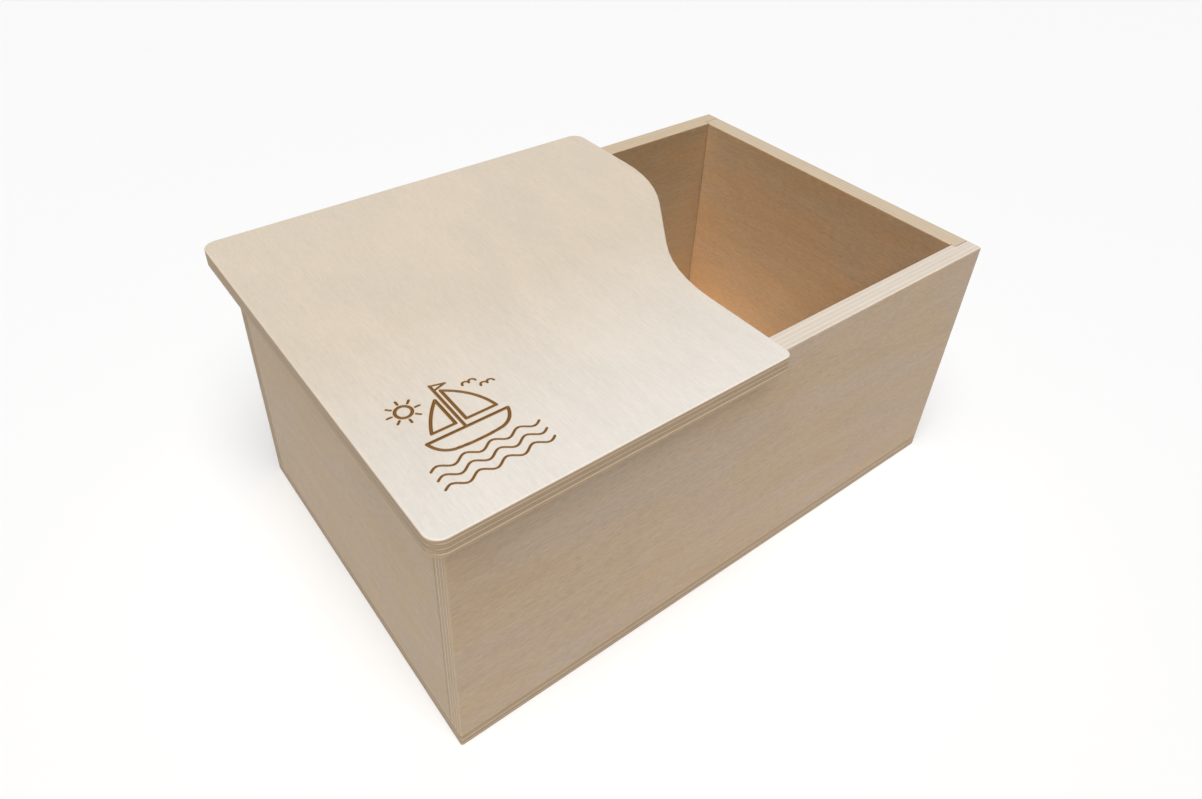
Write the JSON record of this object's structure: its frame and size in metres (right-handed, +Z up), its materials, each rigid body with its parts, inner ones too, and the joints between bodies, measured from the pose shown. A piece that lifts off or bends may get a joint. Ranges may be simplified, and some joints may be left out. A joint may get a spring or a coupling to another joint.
{
  "type": "wooden toy box",
  "caption": "Open plywood toy box with rebated corners and a partial, S-edged lid that lifts straight off on dowel pegs.",
  "frame": {"origin": "middle of the underside of the base panel, on the surface that the box stands on", "axes": "+Z up, +X along the box from the covered end towards the open end, -Y the front"},
  "size_m": [0.36, 0.242, 0.1643],
  "materials": {
    "birch_plywood": "sanded, thin matt oil",
    "beech_dowel": "raw, turned and ribbed",
    "zinc_plated_steel": "zinc plated"
  },
  "bodies": {
    "box": {"front_wall": "birch_plywood", "back_wall": "birch_plywood", "left_wall": "birch_plywood", "right_wall": "birch_plywood", "base_panel": "birch_plywood", "base_screw_1": "zinc_plated_steel", "base_screw_2": "zinc_plated_steel", "base_screw_3": "zinc_plated_steel", "base_screw_4": "zinc_plated_steel", "base_screw_5": "zinc_plated_steel", "base_screw_6": "zinc_plated_steel", "base_screw_7": "zinc_plated_steel", "base_screw_8": "zinc_plated_steel", "base_screw_9": "zinc_plated_steel", "base_screw_10": "zinc_plated_steel"},
    "lid": {"lid_panel": "birch_plywood", "lid_peg_1": "beech_dowel", "lid_peg_2": "beech_dowel", "lid_peg_3": "beech_dowel", "lid_peg_4": "beech_dowel"}
  },
  "joints": [
    {"name": "lid_lift", "type": "slide", "parent": "box", "child": "lid", "axis": [0, 0, 1], "range_m": [0, 0.12]}
  ]
}
